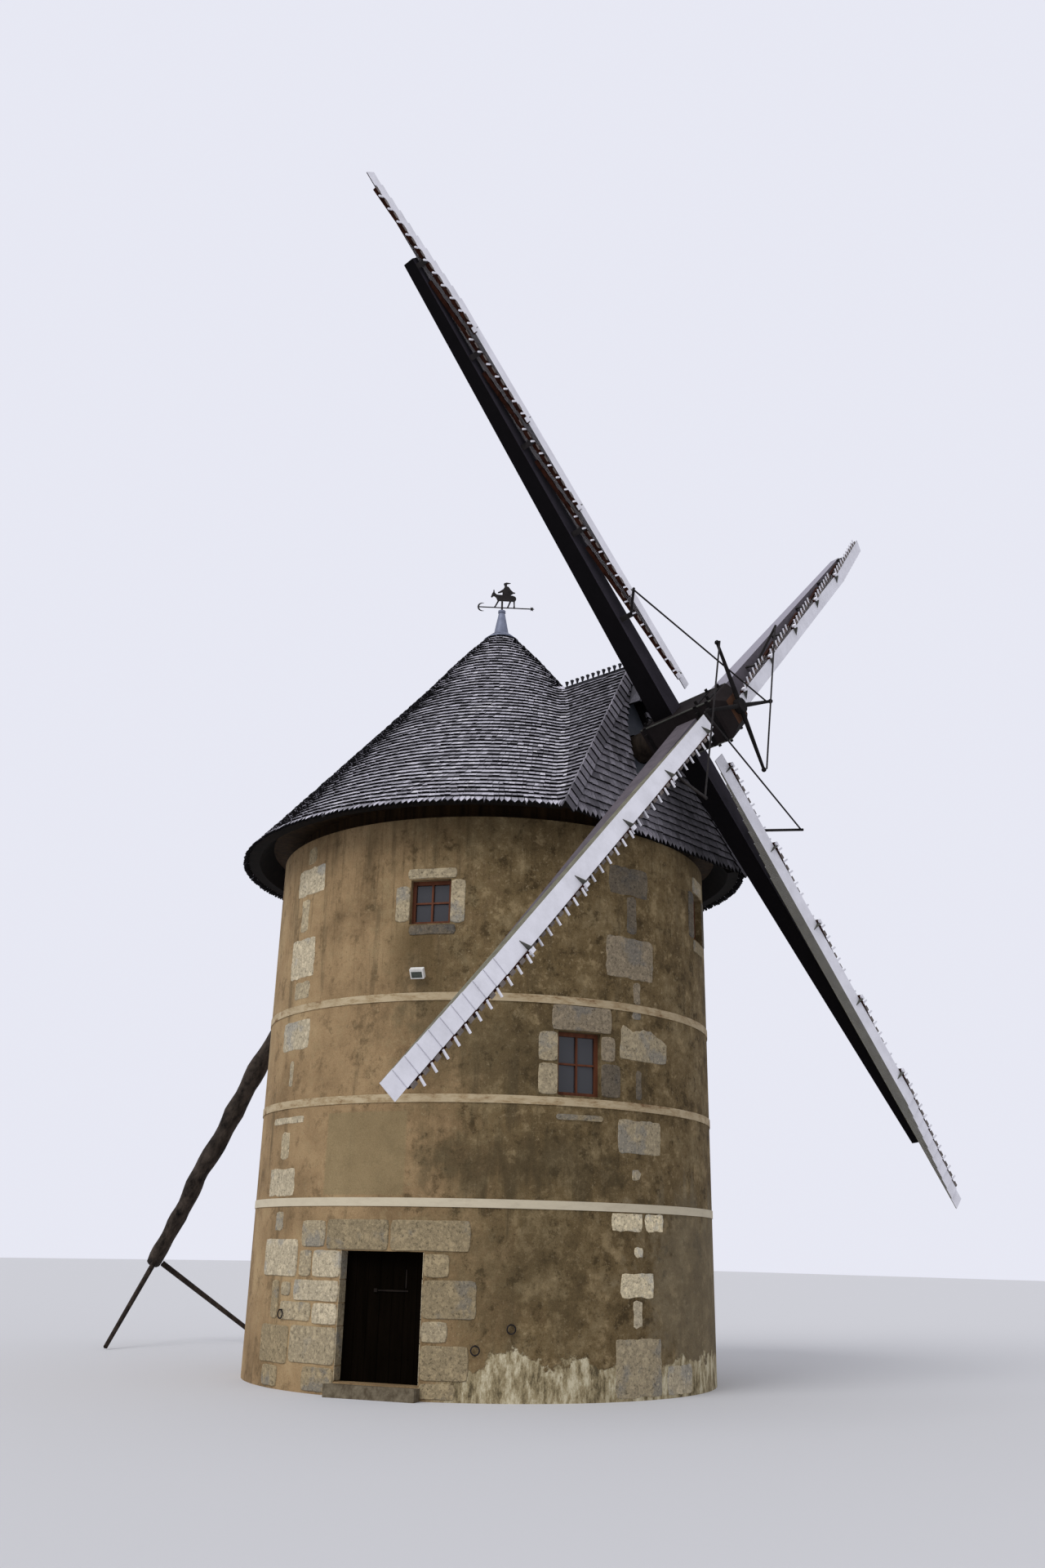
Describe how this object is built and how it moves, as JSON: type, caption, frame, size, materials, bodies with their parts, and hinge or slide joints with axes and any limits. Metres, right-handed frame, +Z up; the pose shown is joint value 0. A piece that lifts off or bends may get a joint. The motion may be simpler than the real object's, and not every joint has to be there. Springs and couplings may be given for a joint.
{
  "type": "traditional tower windmill",
  "caption": "Round stone tower windmill with a shingled turning cap, closed white board sails, a tail pole and a weather vane.",
  "frame": {"origin": "middle of the round tower at ground level", "axes": "+Z up; the sails face -Y, slightly upwards; +X is to the right of someone who stands in front of the sails and faces the mill"},
  "size_m": [15.646, 16.4672, 18.5016],
  "materials": {
    "render_wall": "rough lime render over rubble masonry",
    "dressed_stone": "rough",
    "iron_band": "matt",
    "old_timber": "rough",
    "inner_timber": "rough",
    "shingles": "rough",
    "red_timber": "satin",
    "glass": "clear",
    "white_boards": "satin",
    "black_iron": "matt",
    "grey_sheet": "satin",
    "lead": "matt",
    "lamp_white": "satin"
  },
  "bodies": {
    "tower": {"wall_low_front": "render_wall", "wall_low_right": "render_wall", "wall_low_back": "render_wall", "wall_low_left": "render_wall", "wall_over_door": "render_wall", "wall_high_front": "render_wall", "wall_high_right": "render_wall", "wall_high_back": "render_wall", "ground_floor": "dressed_stone", "first_floor": "inner_timber", "second_floor": "inner_timber", "door_surround": "dressed_stone", "window_surrounds": "dressed_stone", "window_frames": "red_timber", "window_panes": "glass", "iron_bands": "iron_band", "door_step": "old_timber", "tie_rings": "black_iron", "floodlight": "lamp_white", "fixed_curb": "inner_timber", "door_pintles": "black_iron"},
    "door": {"door_leaf": "old_timber", "door_straps": "black_iron"},
    "cap": {"cone_roof": "shingles", "ridge_roof": "shingles", "front_face": "shingles", "throat_boards": "grey_sheet", "shaft_hood": "shingles", "ridge_crest": "lead", "finial": "lead", "turning_curb": "inner_timber", "rafter_sole": "inner_timber", "cap_bearers": "inner_timber", "tail_pole": "old_timber", "tail_legs": "old_timber"},
    "rotor": {"windshaft": "old_timber", "rear_stock": "old_timber", "front_stock": "old_timber", "shaft_head": "black_iron", "sail_boards": "white_boards", "levers": "black_iron", "lever_brackets": "black_iron", "spider": "black_iron", "striking_rods": "black_iron", "rod_arms": "black_iron"},
    "vane": {"vane_bar": "black_iron", "vane_figure": "black_iron"}
  },
  "joints": [
    {"name": "door_hinge", "type": "hinge", "parent": "tower", "child": "door", "pos_m": [-3.69301, -0.66214, 1.1], "axis": [0, 0, 1], "range_deg": [0, 90]},
    {"name": "cap_yaw", "type": "hinge", "parent": "tower", "child": "cap", "pos_m": [0, 0, 8.9], "axis": [0, 0, 1], "continuous": true},
    {"name": "sail_spin", "type": "hinge", "parent": "cap", "child": "rotor", "pos_m": [0, -4.425, 10.714], "axis": [0, -0.993, 0.1184], "continuous": true},
    {"name": "vane_spin", "type": "hinge", "parent": "cap", "child": "vane", "pos_m": [0, 0, 14.6], "axis": [0, 0, 1], "continuous": true}
  ]
}
